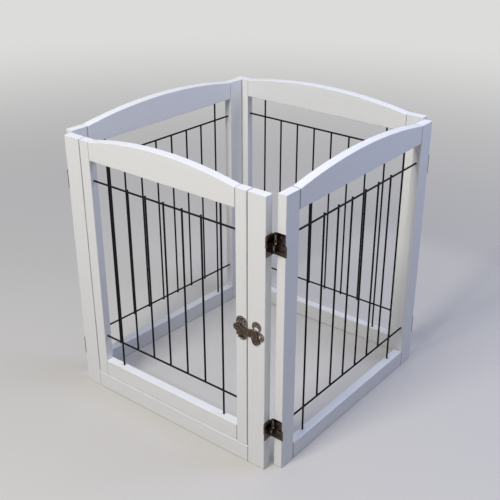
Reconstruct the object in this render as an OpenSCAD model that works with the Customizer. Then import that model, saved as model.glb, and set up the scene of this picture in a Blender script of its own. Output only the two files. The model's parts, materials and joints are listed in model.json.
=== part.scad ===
// Free-standing folding pet gate: four arched wooden panels with wire grilles,
// hinged to one another and set up as a closed pen.
// The front panel is a U-shaped frame that holds a walk-through door.
// Units are millimetres. Z is up. The origin is on the floor under the middle of the front panel.

/* [Panels] */
// Width of each of the four panels
panel_w = 502; // [440:1:620]
// Height of the stiles
stile_h = 590; // [500:1:760]
// Thickness of the wooden frames
frame_t = 19; // [17:0.5:20]
// Width of a panel's stiles and height of its rails
stile_w = 39; // [34:1:50]
// How far the arched top rails rise above the stiles
arch_rise = 20; // [12:1:34]
// Radius of the eased edges of the wood
edge_r = 1.5; // [1:0.1:2.5]

/* [Door] */
// Width of the fixed stiles beside the door
jamb_w = 40; // [38:1:50]
// Gap between the door and its frame
door_gap = 2.4; // [2.4:0.1:4]
// Width of the door's own stiles
door_stile_w = 25; // [24:1:34]
// Height of the door's bottom rail
door_rail_h = 38; // [32:1:46]

/* [Wire grilles] */
// Diameter of the wires
wire_d = 4; // [3:0.1:4.4]
// Distance between upright wires
wire_pitch = 47; // [38:0.5:50]
// Upright wires in a plain panel
panel_wires = 8; // [6:1:8]
// Upright wires in the door
door_wires = 7; // [5:1:7]
// Top cross wire below the top rail
wire_drop = 45; // [30:1:80]
// Bottom cross wire above the bottom rail
wire_rise = 61; // [30:1:90]

/* [How it stands] */
// Inside angle between the front and right panels
near_angle = 91.5; // [91.4:0.1:92]
// Inside angle between the right and back panels
right_angle = 88; // [88:0.1:89]
// Inside angle between the front and left panels
left_angle = 85.2; // [84.8:0.1:85.6]

/* [Corner hinges] */
// Distance between two panels that stand in one line
hinge_gap = 6; // [6:0.1:8]
// Height of a hinge
hinge_h = 42.5; // [40:0.5:60]
// Height of the upper hinge's middle
hinge_top_z = 495.5; // [440:0.5:510]
// Height of the lower hinge's middle
hinge_low_z = 93.5; // [90:0.5:150]

/* [Latch] */
// Height of the middle of the latch plates
latch_z = 311; // [200:1:400]

/* [Hidden] */
$fn = 48;

fit = 0.05;                            // radial clearance of pins, wires and dowels in their holes
paint = "#dcdcd8";
wire_black = "#17171a";
bronze = "#4a3b30";
bare_wood = "#c9a877";

// Wood
rail_z = stile_h - stile_w;            // lower edge of the top rails
half_t = frame_t / 2;
dowel_r = 3;
dowel_l = 26;                          // half in the rail, half in the stile
door_dowel_l = 24;

// Door
door_x0 = jamb_w + door_gap;           // hinge-side edge of the door
door_x1 = panel_w - jamb_w - door_gap; // latch-side edge of the door
door_z0 = stile_w + door_gap;          // lower edge of the door
door_open_x0 = door_x0 + door_stile_w;
door_open_x1 = door_x1 - door_stile_w;

// Wire grilles: the cross wires lie outside, the uprights are welded behind them
wire_r = wire_d / 2;
weld = 0.3;                            // how far a weld sinks the two wires into each other
cross_y = half_t - 1;
upright_y = cross_y + wire_d - weld;
wire_in = 8;                           // depth of a wire in the wood
hole_in = wire_in + 0.5;
wire_over = 2.5;                       // how far an upright passes the cross wires

// Corner hinges, drawn about the inner pin, with the first panel towards -X.
// The near corner has a two-way hinge, with a pin at each face; the other two have plain ones.
pin_off = hinge_gap / 2;               // from the pin to each panel's end and inner face
leaf_t = 1.3;
knuckle_r = 1.7;
pin_r = 0.95;
outer_y = -(frame_t + hinge_gap);      // the outer pin, at the outer faces
half_h = hinge_h / 2;
split = 0.3;                           // half the gap between the upper and lower halves
knuckle_gap = 0.4;                     // gap between neighbouring knuckles
link_edge = knuckle_r + 0.5;           // a link plate stays this far from a pin's axis
knuckle_step = (half_h - split) / 3;
knuckle_h = knuckle_step - knuckle_gap;
plain_step = hinge_h / 5;              // a plain hinge has five knuckles
function knuckle_z(i) = split + i * knuckle_step + knuckle_gap / 2;
hinge_zs = [hinge_top_z, hinge_low_z];

// Screws
screw_r = 1.4;
screw_head_r = 2.7;
screw_l = 13;
screw_zs = [-0.34 * hinge_h, 0, 0.34 * hinge_h];
screw_tip = 2;                         // length of the pointed tip
screw_tip_r = 0.3;

// Door hinges: butt hinges with the knuckle on the inner side
door_leaf_h = 66;
door_leaf_t = 0.95;
door_knuckle_r = 2.9;
door_pin_r = 1.5;
door_pin_x = jamb_w + door_gap / 2;
door_pin_y = frame_t + door_knuckle_r + 0.3;
door_hinge_zs = [484, 143];
door_knuckles = 5;
door_screw_zs = [-22, 0, 22];
door_screw_y = 8;

// Latch, on the outer face
plate_t = 1.5;
lever_t = 2;
lever_back = plate_t + 0.5;            // from the outer face to the back of the lever
pivot = [478, latch_z - 8];
rivet_r = 2;
lever_bore_r = rivet_r + fit;
arm_r = 8;                             // half the height of the lever's arm
arm_end = [pivot[0] - 32, pivot[1] + 0.6]; // the arm's blunt end reaches arm_r beyond this
tab_c = [pivot[0] - 39.4, pivot[1] + 8.8]; // centre of the finger tab
elbow = [pivot[0] - 0.5, pivot[1] + 8.5];  // centre of the bend between arm and horn
elbow_r = 8.8;
horn_c = [pivot[0] + 3.3, pivot[1] - 9.2]; // centre of the horn's rounded end
horn_r = 6.8;
catch_x = door_x1 - door_stile_w / 2;  // middle of the catch plate
jamb_mid = panel_w - jamb_w / 2 + 3.5; // middle of the lever plate
latch_screw_l = 11;

// ---------- helpers ----------
// Bar along Z from the origin corner with eased long edges
module bar(w, t, l) {
  linear_extrude(l) eased(w, t);
}

// Rectangle with rounded corners, drawn from separate exact pieces
module eased(w, t) {
  translate([edge_r, 0]) square([w - 2 * edge_r, t]);
  translate([0, edge_r]) square([w, t - 2 * edge_r]);
  for (x = [edge_r, w - edge_r], y = [edge_r, t - edge_r])
    translate([x, y]) circle(edge_r, $fn = 24);
}

// Cylinder along X, Y or Z from a point
module rod_x(p, r, l) {
  translate(p) rotate([0, 90, 0]) cylinder(r = r, h = l);
}
module rod_z(p, r, l) {
  translate(p) cylinder(r = r, h = l);
}
module face_hole(x, z, r, d) {
  translate([x, d, z]) rotate([90, 0, 0]) cylinder(r = r, h = d + 1);
}

// Where each panel stands: local x runs along the panel, local y inwards from its outer face
module at_front() { translate([-panel_w / 2, -half_t, 0]) children(); }
module next_panel(angle) {
  translate([panel_w + pin_off, frame_t + pin_off, 0]) rotate([0, 0, 180 - angle])
    translate([pin_off, -(frame_t + pin_off), 0]) children();
}
module at_right() { at_front() next_panel(near_angle) children(); }
module at_back() { at_right() next_panel(right_angle) children(); }
module at_left() {
  at_front() translate([-pin_off, frame_t + pin_off, 0]) rotate([0, 0, left_angle - 180])
    translate([-(panel_w + pin_off), -(frame_t + pin_off), 0]) children();
}

// Where each corner hinge stands: about the inner pin, first panel towards -X
module at_far_end() { translate([panel_w + pin_off, frame_t + pin_off, 0]) children(); }
module at_start() { translate([-pin_off, frame_t + pin_off, 0]) mirror([1, 0, 0]) children(); }
module hinge_pair() { for (z = hinge_zs) translate([0, 0, z]) children(); }
module second_side(angle) { rotate([0, 0, 180 - angle]) mirror([1, 0, 0]) mirror([0, 0, 1]) children(); }
module near_corner() { at_front() at_far_end() hinge_pair() children(); }
module far_corner() { at_right() at_far_end() hinge_pair() children(); }
module left_corner() { at_front() at_start() hinge_pair() children(); }

// ---------- wood ----------
// Pilot holes for the corner hinges' screws in a panel's end
module end_holes(x, dir) {
  for (z = hinge_zs, s = screw_zs)
    translate([x, half_t, z + s]) rotate([0, dir * 90, 0])
      cylinder(r = screw_r + fit, h = screw_l + 1);
}

// Holes in a stile's edge for the rail's dowels and the cross wires
function dowel_zs(rail_z0, rail_h) = [rail_z0 + rail_h * 0.27, rail_z0 + rail_h * 0.73];
module edge_holes(x, dir, low_z, low_h, top, wire_zs, l) {
  zs = concat(dowel_zs(low_z, low_h), top ? dowel_zs(rail_z, stile_w) : []);
  for (z = zs) translate([x, half_t, z]) rotate([0, dir * 90, 0])
    cylinder(r = dowel_r + fit, h = l / 2 + 0.5);
  for (z = wire_zs) translate([x, cross_y, z]) rotate([0, dir * 90, 0])
    cylinder(r = wire_r + fit, h = hole_in);
}

// Dowel holes in both ends of a rail from x0 to x1
module rail_holes(x0, x1, z0, h, l) {
  for (z = dowel_zs(z0, h)) {
    rod_x([x0 - 1, half_t, z], dowel_r + fit, l / 2 + 1.5);
    rod_x([x1 - l / 2 - 0.5, half_t, z], dowel_r + fit, l / 2 + 1.5);
  }
}
module straight_rail(x0, x1, z0, h) {
  translate([x0, 0, z0 + h]) rotate([0, 90, 0]) linear_extrude(x1 - x0) eased(h, frame_t);
}

// Arched rail: a straight bar below, a round strip with eased edges above, a flat board between
module arched_rail(x0, x1) {
  half = (x1 - x0) / 2;
  r = (half * half + arch_rise * arch_rise) / (2 * arch_rise);
  strip = stile_w * 0.6;
  sweep = 2 * asin(half / r) + 4;
  intersection() {
    translate([x0, -1, rail_z - 1]) cube([x1 - x0, frame_t + 2, stile_w + arch_rise + 2]);
    union() {
      straight_rail(x0 - 1, x1 + 1, rail_z, stile_w * 0.5);
      translate([x0 + half, frame_t, stile_h + arch_rise - r]) rotate([90, 0, 0]) {
        rotate([0, 0, 90 - sweep / 2])
          rotate_extrude(angle = sweep, $fn = 360) translate([r - strip, 0]) eased(strip, frame_t);
        linear_extrude(frame_t) intersection() {
          circle(r - strip / 2, $fn = 360);
          translate([-half - 1, r - arch_rise - stile_w * 0.7]) square([2 * half + 2, stile_w]);
        }
      }
    }
  }
}

function upright_x(x0, x1, n, i) = (x0 + x1) / 2 + (i - (n - 1) / 2) * wire_pitch;

// Blind holes in the rails for the two outermost uprights
module upright_holes(x0, x1, n, z, up) {
  for (i = [0, n - 1])
    translate([upright_x(x0, x1, n, i), upright_y, z]) mirror([0, 0, up ? 0 : 1])
      translate([0, 0, -1]) cylinder(r = wire_r + fit, h = hole_in + 1);
}

// Welded grille: two cross wires, short uprights between them, two long ones from rail to rail
module grille(x0, x1, n, low, high) {
  z_low = low + wire_rise;
  z_high = high - wire_drop;
  color(wire_black) union() {
    for (z = [z_low, z_high]) rod_x([x0 - wire_in, cross_y, z], wire_r, x1 - x0 + 2 * wire_in);
    for (i = [1:n - 2]) rod_z([upright_x(x0, x1, n, i), upright_y, z_low - wire_over], wire_r,
      z_high - z_low + 2 * wire_over);
    for (i = [0, n - 1]) rod_z([upright_x(x0, x1, n, i), upright_y, low - wire_in], wire_r,
      high - low + 2 * wire_in);
  }
}

module dowels(x0, x1, rails, l) {
  color(bare_wood) for (r = rails, z = dowel_zs(r[0], r[1]), x = [x0, x1])
    rod_x([x - l / 2, half_t, z], dowel_r, l);
}

// ---------- plain panels ----------
panel_x0 = stile_w;
panel_x1 = panel_w - stile_w;
panel_wire_zs = [stile_w + wire_rise, rail_z - wire_drop];
panel_rails = [[0, stile_w], [rail_z, stile_w]];

module panel_stile_near(hinged) {
  color(paint) difference() {
    bar(stile_w, frame_t, stile_h);
    edge_holes(panel_x0, -1, 0, stile_w, true, panel_wire_zs, dowel_l);
    if (hinged) end_holes(-1, 1);
  }
}
module panel_stile_far(hinged) {
  color(paint) difference() {
    translate([panel_x1, 0, 0]) bar(stile_w, frame_t, stile_h);
    edge_holes(panel_x1, 1, 0, stile_w, true, panel_wire_zs, dowel_l);
    if (hinged) end_holes(panel_w + 1, -1);
  }
}
module panel_top_rail() {
  color(paint) difference() {
    arched_rail(panel_x0, panel_x1);
    rail_holes(panel_x0, panel_x1, rail_z, stile_w, dowel_l);
    upright_holes(panel_x0, panel_x1, panel_wires, rail_z, true);
  }
}
module panel_bottom_rail() {
  color(paint) difference() {
    straight_rail(panel_x0, panel_x1, 0, stile_w);
    rail_holes(panel_x0, panel_x1, 0, stile_w, dowel_l);
    upright_holes(panel_x0, panel_x1, panel_wires, stile_w, false);
  }
}
module panel_grille() { grille(panel_x0, panel_x1, panel_wires, stile_w, rail_z); }
module panel_dowels() { dowels(panel_x0, panel_x1, panel_rails, dowel_l); }

// ---------- front frame and door ----------
front_rails = [[0, stile_w]];
door_rails = [[door_z0, door_rail_h], [rail_z, stile_w]];
door_low = door_z0 + door_rail_h;
door_wire_zs = [door_low + wire_rise, rail_z - wire_drop];

// Pilot holes for the three screws of each door hinge leaf
module door_leaf_holes(x, dir) {
  for (z = door_hinge_zs, s = door_screw_zs)
    translate([x, door_screw_y, z + s]) rotate([0, dir * 90, 0]) cylinder(r = screw_r + fit, h = screw_l + 1);
}

module front_stile_left() {
  at_front() color(paint) difference() {
    bar(jamb_w, frame_t, stile_h);
    edge_holes(jamb_w, -1, 0, stile_w, false, [], dowel_l);
    end_holes(-1, 1);
    door_leaf_holes(jamb_w + 1, -1);
  }
}
module front_stile_right() {
  at_front() color(paint) difference() {
    translate([panel_w - jamb_w, 0, 0]) bar(jamb_w, frame_t, stile_h);
    edge_holes(panel_w - jamb_w, 1, 0, stile_w, false, [], dowel_l);
    end_holes(panel_w + 1, -1);
    for (p = lever_plate_screws) face_hole(p[0], p[1], screw_r + fit, latch_screw_l);
  }
}
module front_bottom_rail() {
  at_front() color(paint) difference() {
    straight_rail(jamb_w, panel_w - jamb_w, 0, stile_w);
    rail_holes(jamb_w, panel_w - jamb_w, 0, stile_w, dowel_l);
  }
}
module front_dowels() { at_front() dowels(jamb_w, panel_w - jamb_w, front_rails, dowel_l); }

module door_stile_hinge_side() {
  at_front() color(paint) difference() {
    translate([door_x0, 0, door_z0]) bar(door_stile_w, frame_t, stile_h - door_z0);
    edge_holes(door_open_x0, -1, door_z0, door_rail_h, true, door_wire_zs, door_dowel_l);
    door_leaf_holes(door_x0 - 1, 1);
  }
}
module door_stile_latch_side() {
  at_front() color(paint) difference() {
    translate([door_open_x1, 0, door_z0]) bar(door_stile_w, frame_t, stile_h - door_z0);
    edge_holes(door_open_x1, 1, door_z0, door_rail_h, true, door_wire_zs, door_dowel_l);
    for (p = catch_screws) face_hole(p[0], p[1], screw_r + fit, latch_screw_l);
  }
}
module door_top_rail() {
  at_front() color(paint) difference() {
    arched_rail(door_open_x0, door_open_x1);
    rail_holes(door_open_x0, door_open_x1, rail_z, stile_w, door_dowel_l);
    upright_holes(door_open_x0, door_open_x1, door_wires, rail_z, true);
  }
}
module door_bottom_rail() {
  at_front() color(paint) difference() {
    straight_rail(door_open_x0, door_open_x1, door_z0, door_rail_h);
    rail_holes(door_open_x0, door_open_x1, door_z0, door_rail_h, door_dowel_l);
    upright_holes(door_open_x0, door_open_x1, door_wires, door_low, false);
  }
}
module door_grille() { at_front() grille(door_open_x0, door_open_x1, door_wires, door_low, rail_z); }
module door_dowels() { at_front() dowels(door_open_x0, door_open_x1, door_rails, door_dowel_l); }

// ---------- screws ----------
// Countersunk screw with a cross recess: the head's face at the origin, the shank along -Z
module screw(l, head) {
  difference() {
    union() {
      translate([0, 0, -head]) cylinder(r1 = screw_r, r2 = screw_head_r, h = head, $fn = 24);
      translate([0, 0, -l + screw_tip]) cylinder(r = screw_r, h = l - screw_tip - head, $fn = 24);
      translate([0, 0, -l]) cylinder(r1 = screw_tip_r, r2 = screw_r, h = screw_tip, $fn = 24);
    }
    for (a = [0, 90]) rotate([0, 0, a]) translate([-1.5, -0.25, -0.7]) cube([3, 0.5, 1]);
  }
}
module end_screws(x, dir) {
  color(bronze) for (z = hinge_zs, s = screw_zs)
    translate([x + dir * leaf_t, half_t, z + s]) rotate([0, dir * 90, 0]) screw(screw_l, leaf_t);
}
module door_leaf_screws(x, dir) {
  color(bronze) for (z = door_hinge_zs, s = door_screw_zs)
    translate([x + dir * door_leaf_t, door_screw_y, z + s]) rotate([0, dir * 90, 0])
      screw(screw_l, door_leaf_t);
}
module face_screws(points) {
  color(bronze) for (p = points)
    translate([p[0], -plate_t, p[1]]) rotate([90, 0, 0]) screw(latch_screw_l, leaf_t);
}

module front_screws() {
  at_front() {
    end_screws(0, -1);
    end_screws(panel_w, 1);
    door_leaf_screws(jamb_w, 1);
    face_screws(lever_plate_screws);
  }
}
module door_screws() {
  at_front() {
    door_leaf_screws(door_x0, -1);
    face_screws(catch_screws);
  }
}

// ---------- corner hinges ----------
// Leaf's plate on the panel's end, with its screw holes
module leaf_plate() {
  difference() {
    translate([-pin_off, -(frame_t + pin_off), -half_h]) cube([leaf_t, frame_t, hinge_h]);
    for (s = screw_zs) translate([-pin_off, -pin_off - half_t, s]) rotate([0, 90, 0]) {
      translate([0, 0, -1]) cylinder(r = screw_r + fit, h = leaf_t + 2, $fn = 24);
      cylinder(r1 = screw_r + fit, r2 = screw_head_r + fit, h = leaf_t + 0.01, $fn = 24);
    }
  }
}
// Two-way leaf: outer knuckles in its upper half, inner ones in its lower half
module leaf() {
  leaf_plate();
  for (i = [0, 2]) {
    translate([0, outer_y, knuckle_z(i)]) curl(1, knuckle_h);
    translate([0, 0, -knuckle_z(i) - knuckle_h]) curl(-1, knuckle_h);
  }
}
// Plain leaf: every second knuckle, about the inner pin alone
module plain_leaf(first) {
  leaf_plate();
  for (i = [first:2:4])
    translate([0, 0, -half_h + i * plain_step + knuckle_gap / 2]) curl(-1, plain_step - knuckle_gap);
}
// Knuckle about a pin, with the slanting strip that reaches it from the leaf's plate.
// The plate lies on the +Y side (dir 1) or on the -Y side (dir -1) of the pin.
module curl(dir, h) {
  mirror([0, dir > 0 ? 0 : 1, 0]) difference() {
    union() {
      cylinder(r = knuckle_r, h = h, $fn = 32);
      linear_extrude(h) polygon([
        [-pin_off, pin_off + 0.3], [-0.88 * knuckle_r, -0.48 * knuckle_r],
        [-0.3 * knuckle_r, -0.17 * knuckle_r], [-pin_off + leaf_t, pin_off + 0.3]
      ]);
    }
    translate([0, 0, -1]) cylinder(r = pin_r + fit, h = h + 2, $fn = 32);
  }
}
// One link: a half-height plate from the outer pin to the inner pin, a middle knuckle on each
module link() {
  difference() {
    union() {
      translate([-leaf_t / 2, outer_y + link_edge, split + knuckle_gap / 2])
        cube([leaf_t, -outer_y - 2 * link_edge, half_h - split - knuckle_gap]);
      translate([-leaf_t / 2, outer_y, knuckle_z(1)]) cube([leaf_t, -outer_y, knuckle_h]);
      for (y = [0, outer_y])
        translate([0, y, knuckle_z(1)]) cylinder(r = knuckle_r, h = knuckle_h, $fn = 32);
    }
    for (y = [0, outer_y])
      translate([0, y, knuckle_z(1) - 1]) cylinder(r = pin_r + fit, h = knuckle_h + 2, $fn = 32);
  }
}
module inner_pin() { translate([0, 0, -half_h]) cylinder(r = pin_r, h = hinge_h, $fn = 32); }
module outer_pin() { translate([0, outer_y, split]) cylinder(r = pin_r, h = half_h - split, $fn = 32); }

module near_hinge_front_leaves() { near_corner() color(bronze) leaf(); }
module near_hinge_front_links() { near_corner() color(bronze) link(); }
module near_hinge_right_leaves() { near_corner() second_side(near_angle) color(bronze) leaf(); }
module near_hinge_right_links() { near_corner() second_side(near_angle) color(bronze) link(); }
module far_hinge_right_leaves() { far_corner() color(bronze) plain_leaf(0); }
module far_hinge_back_leaves() { far_corner() second_side(right_angle) color(bronze) plain_leaf(1); }
module left_hinge_front_leaves() { left_corner() color(bronze) plain_leaf(0); }
module left_hinge_left_leaves() { left_corner() second_side(left_angle) color(bronze) plain_leaf(1); }

module front_hinge_pins() {
  color(bronze) {
    near_corner() {
      inner_pin();
      outer_pin();
    }
    left_corner() inner_pin();
  }
}
module right_hinge_pins() {
  color(bronze) {
    near_corner() second_side(near_angle) outer_pin();
    far_corner() inner_pin();
  }
}

// ---------- door hinges ----------
door_knuckle_l = door_leaf_h / door_knuckles;
// Leaf on the side dir (-1 frame, 1 door), with every second knuckle
module door_leaf(dir, first) {
  x_plate = dir < 0 ? -door_gap / 2 : door_gap / 2 - door_leaf_t;
  reach_y = door_pin_y - frame_t;
  difference() {
    union() {
      translate([x_plate, 2.5 - door_pin_y, -door_leaf_h / 2])
        cube([door_leaf_t, frame_t - 2.5 - 0.1, door_leaf_h]);
      for (i = [first:2:door_knuckles - 1]) {
        z0 = -door_leaf_h / 2 + i * door_knuckle_l + knuckle_gap / 2;
        l = door_knuckle_l - knuckle_gap;
        translate([0, 0, z0]) cylinder(r = door_knuckle_r, h = l);
        translate([x_plate, -reach_y - 1, z0]) cube([door_leaf_t, reach_y + 1, l]);
      }
    }
    translate([0, 0, -door_leaf_h / 2 - 1]) cylinder(r = door_pin_r + fit, h = door_leaf_h + 2);
    for (s = door_screw_zs) translate([dir * door_gap / 2, door_screw_y - door_pin_y, s])
      rotate([0, -dir * 90, 0]) {
        translate([0, 0, -1]) cylinder(r = screw_r + fit, h = door_leaf_t + 2, $fn = 24);
        cylinder(r1 = screw_r + fit, r2 = screw_head_r + fit, h = door_leaf_t + 0.01, $fn = 24);
      }
  }
}
module at_door_hinges() {
  at_front() for (z = door_hinge_zs) translate([door_pin_x, door_pin_y, z]) children();
}
module door_hinge_frame_leaves() { at_door_hinges() color(bronze) door_leaf(-1, 0); }
module door_hinge_door_leaves() { at_door_hinges() color(bronze) door_leaf(1, 1); }
module door_hinge_pins() {
  at_door_hinges() color(bronze) translate([0, 0, -door_leaf_h / 2]) cylinder(r = door_pin_r, h = door_leaf_h);
}

// ---------- latch ----------
lever_plate_screws = [[jamb_mid - 1.5, latch_z + 20.8], [jamb_mid + 9.4, latch_z - 4]];
catch_screws = [[catch_x, latch_z + 17], [catch_x + 8.4, latch_z - 16.5]];

// Flat outline in X and Z, from depth y0 to y1 in front of the outer face
module in_front(y0, y1) {
  translate([0, -y0, 0]) rotate([90, 0, 0]) linear_extrude(y1 - y0) children();
}
module screw_holes(points) {
  for (p = points) translate([p[0], -plate_t - 0.01, p[1]]) rotate([-90, 0, 0]) {
    cylinder(r1 = screw_head_r + fit, r2 = screw_r + fit, h = leaf_t, $fn = 24);
    cylinder(r = screw_r + fit, h = plate_t + 2, $fn = 24);
  }
}
module catch_outline() {
  translate([catch_x + 1.4, latch_z + 14.3]) circle(12.4);
  translate([catch_x - 11, latch_z - 5]) square([24.8, 19.3]);
  translate([catch_x + 3.2, latch_z - 13.8]) circle(10.3);
  translate([catch_x - 7.1, latch_z - 13.8]) square([20.6, 12]);
}
lip_x = catch_x - 4;
lip_w = 9;
lip_top = arm_end[1] - arm_r - 0.5;    // just under the resting lever
lip_drop = 2.3;                        // how deep the lever drops behind the lip
module latch_catch_plate() {
  at_front() color(bronze) {
    difference() {
      union() {
        in_front(0, plate_t) catch_outline();
        translate([lip_x, -lever_back - lever_t - 1.7, lip_top - lip_drop - 1.5])
          cube([lip_w, lever_back + lever_t + 1.7 - plate_t + 0.5, 1.5]);
        translate([lip_x, -lever_back - lever_t - 1.7, lip_top - lip_drop - 1.5])
          cube([lip_w, 1.2, lip_drop + 1.5]);
      }
      screw_holes(catch_screws);
    }
  }
}
module lever_plate_outline() {
  difference() {
    union() {
      translate([jamb_mid - 1.9, latch_z + 16.3]) circle(10);
      translate([jamb_mid - 11, latch_z - 12]) square([15.5, 23]);
      translate([jamb_mid - 1, latch_z - 13.5]) circle(8.8);
      translate([jamb_mid + 9.3, latch_z - 1.5]) circle(6.2);
      translate([jamb_mid + 8.5, latch_z - 8]) circle(6);
      translate([jamb_mid, latch_z - 13]) square([8.5, 23]);
    }
    translate([jamb_mid - 2.5, latch_z + 10]) circle(4.7);
    translate([jamb_mid + 2.6, latch_z - 2.5]) circle(1.7);
  }
}
module latch_lever_plate() {
  at_front() color(bronze) difference() {
    union() {
      in_front(0, plate_t) lever_plate_outline();
      translate([pivot[0], 0, pivot[1]]) rotate([90, 0, 0]) cylinder(r = 4.2, h = lever_back - 0.1);
    }
    screw_holes(lever_plate_screws);
    translate([pivot[0], 1, pivot[1]]) rotate([90, 0, 0]) cylinder(r = rivet_r + fit, h = 6);
  }
}
module latch_rivet() {
  at_front() color(bronze) translate([pivot[0], 0, pivot[1]]) rotate([90, 0, 0]) {
    cylinder(r = rivet_r, h = lever_back + lever_t + 0.8);
    translate([0, 0, lever_back + lever_t + 0.1]) cylinder(r1 = 3.4, r2 = 2.2, h = 1.1);
  }
}
// Lever: a broad arm that rises to the right, a finger tab on its end and a horn that hangs down
module lever_outline() {
  lean = atan2(elbow[1] - arm_end[1], elbow[0] - arm_end[0]);
  reach = norm(elbow - arm_end);
  translate(arm_end) {
    translate([-arm_r, 2 - arm_r]) square([arm_r + 1, 2 * arm_r - 4]);
    translate([2 - arm_r, -arm_r]) square([arm_r - 1, 2 * arm_r]);
    for (z = [2 - arm_r, arm_r - 2]) translate([2 - arm_r, z]) circle(2);
    rotate(lean) polygon([[0, -arm_r], [reach, -elbow_r], [reach, elbow_r], [0, arm_r]]);
  }
  translate(tab_c) circle(arm_r);
  translate(elbow) circle(elbow_r);
  polygon([elbow - [elbow_r, 1], horn_c - [horn_r, 0], horn_c + [horn_r, 0], elbow + [elbow_r, 0]]);
  translate(horn_c) circle(horn_r);
}
module latch_lever() {
  at_front() color(bronze) difference() {
    in_front(lever_back, lever_back + lever_t) lever_outline();
    translate([pivot[0], 1, pivot[1]]) rotate([90, 0, 0]) cylinder(r = lever_bore_r, h = 10);
  }
}

// ---------- the plain panels' nodes ----------
module right_stile_near() { at_right() panel_stile_near(true); }
module right_stile_far() { at_right() panel_stile_far(true); }
module right_top_rail() { at_right() panel_top_rail(); }
module right_bottom_rail() { at_right() panel_bottom_rail(); }
module right_grille() { at_right() panel_grille(); }
module right_dowels() { at_right() panel_dowels(); }
module right_screws() { at_right() { end_screws(0, -1); end_screws(panel_w, 1); } }
module back_stile_near() { at_back() panel_stile_near(true); }
module back_stile_far() { at_back() panel_stile_far(false); }
module back_top_rail() { at_back() panel_top_rail(); }
module back_bottom_rail() { at_back() panel_bottom_rail(); }
module back_grille() { at_back() panel_grille(); }
module back_dowels() { at_back() panel_dowels(); }
module back_screws() { at_back() end_screws(0, -1); }
module left_stile_near() { at_left() panel_stile_near(false); }
module left_stile_far() { at_left() panel_stile_far(true); }
module left_top_rail() { at_left() panel_top_rail(); }
module left_bottom_rail() { at_left() panel_bottom_rail(); }
module left_grille() { at_left() panel_grille(); }
module left_dowels() { at_left() panel_dowels(); }
module left_screws() { at_left() end_screws(panel_w, 1); }

// ---------- drawing ----------
front_stile_left();
front_stile_right();
front_bottom_rail();
front_dowels();
front_screws();
door_stile_hinge_side();
door_stile_latch_side();
door_top_rail();
door_bottom_rail();
door_grille();
door_dowels();
door_screws();
door_hinge_frame_leaves();
door_hinge_door_leaves();
door_hinge_pins();
latch_lever_plate();
latch_rivet();
latch_lever();
latch_catch_plate();
right_stile_near();
right_stile_far();
right_top_rail();
right_bottom_rail();
right_grille();
right_dowels();
right_screws();
back_stile_near();
back_stile_far();
back_top_rail();
back_bottom_rail();
back_grille();
back_dowels();
back_screws();
left_stile_near();
left_stile_far();
left_top_rail();
left_bottom_rail();
left_grille();
left_dowels();
left_screws();
near_hinge_front_leaves();
near_hinge_right_leaves();
near_hinge_front_links();
near_hinge_right_links();
far_hinge_right_leaves();
far_hinge_back_leaves();
left_hinge_front_leaves();
left_hinge_left_leaves();
front_hinge_pins();
right_hinge_pins();
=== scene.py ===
# %% [markdown]
# # A folding pet gate, finished in Blender
# The gate is four arched wooden panels with wire grilles, stood up as a closed pen. The first panel is a frame
# with a walk-through door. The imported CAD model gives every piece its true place, so this lesson only adds the
# looks: paint, powder coat and bronze, and finer shapes for the wires, hinges, latch and screws.

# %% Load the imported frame
import json
import math

import bpy
import numpy as np
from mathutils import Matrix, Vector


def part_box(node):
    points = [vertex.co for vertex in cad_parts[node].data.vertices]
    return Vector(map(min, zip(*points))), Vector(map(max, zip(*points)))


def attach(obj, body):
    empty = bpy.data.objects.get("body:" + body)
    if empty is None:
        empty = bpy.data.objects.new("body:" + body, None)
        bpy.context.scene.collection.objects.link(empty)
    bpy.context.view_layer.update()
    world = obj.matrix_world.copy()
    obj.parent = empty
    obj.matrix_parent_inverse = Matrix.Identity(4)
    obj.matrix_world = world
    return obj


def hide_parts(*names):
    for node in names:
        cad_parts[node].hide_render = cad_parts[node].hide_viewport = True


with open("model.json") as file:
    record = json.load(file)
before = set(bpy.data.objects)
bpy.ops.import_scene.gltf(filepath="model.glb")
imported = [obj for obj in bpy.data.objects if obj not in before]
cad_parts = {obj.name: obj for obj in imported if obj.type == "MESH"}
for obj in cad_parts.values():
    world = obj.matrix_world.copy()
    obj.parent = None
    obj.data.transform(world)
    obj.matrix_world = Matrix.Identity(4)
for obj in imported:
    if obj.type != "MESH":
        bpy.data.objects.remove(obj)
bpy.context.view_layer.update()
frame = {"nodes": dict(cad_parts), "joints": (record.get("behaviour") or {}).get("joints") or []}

MM = 0.001

# %% [markdown]
# ## Two small tools
# A paint chip is written as an sRGB hex value, but a shader adds up light, which needs linear values. One function
# turns the first into the second. The other adds a shader node: an input is either a number, which is set on the
# node, or another node's output, which is linked. The short functions after them use the second one.

# %% Colour and node tools
def linear(chip):
    """Linear RGBA of an sRGB hex colour: c/12.92 below 0.04045, else ((c + 0.055)/1.055) to the power 2.4."""
    c = np.array([int(chip[i:i + 2], 16) for i in (1, 3, 5)]) / 255
    c = np.where(c <= 0.04045, c / 12.92, ((c + 0.055) / 1.055) ** 2.4)
    return (*(float(v) for v in c), 1.0)


def add_node(tree, kind, inputs=None, **settings):
    """Adds a shader node of a kind, sets its properties, and sets or links its inputs."""
    node = tree.nodes.new("ShaderNode" + kind)
    for key, value in settings.items():
        setattr(node, key, value)
    for key, value in (inputs or {}).items():
        if isinstance(value, bpy.types.NodeSocket):
            tree.links.new(value, node.inputs[key])
        else:
            node.inputs[key].default_value = value
    return node


def new_material(name):
    """Gives an empty material and its node tree."""
    material = bpy.data.materials.new(name)
    material.use_nodes = True
    material.node_tree.nodes.clear()
    return material, material.node_tree


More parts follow.
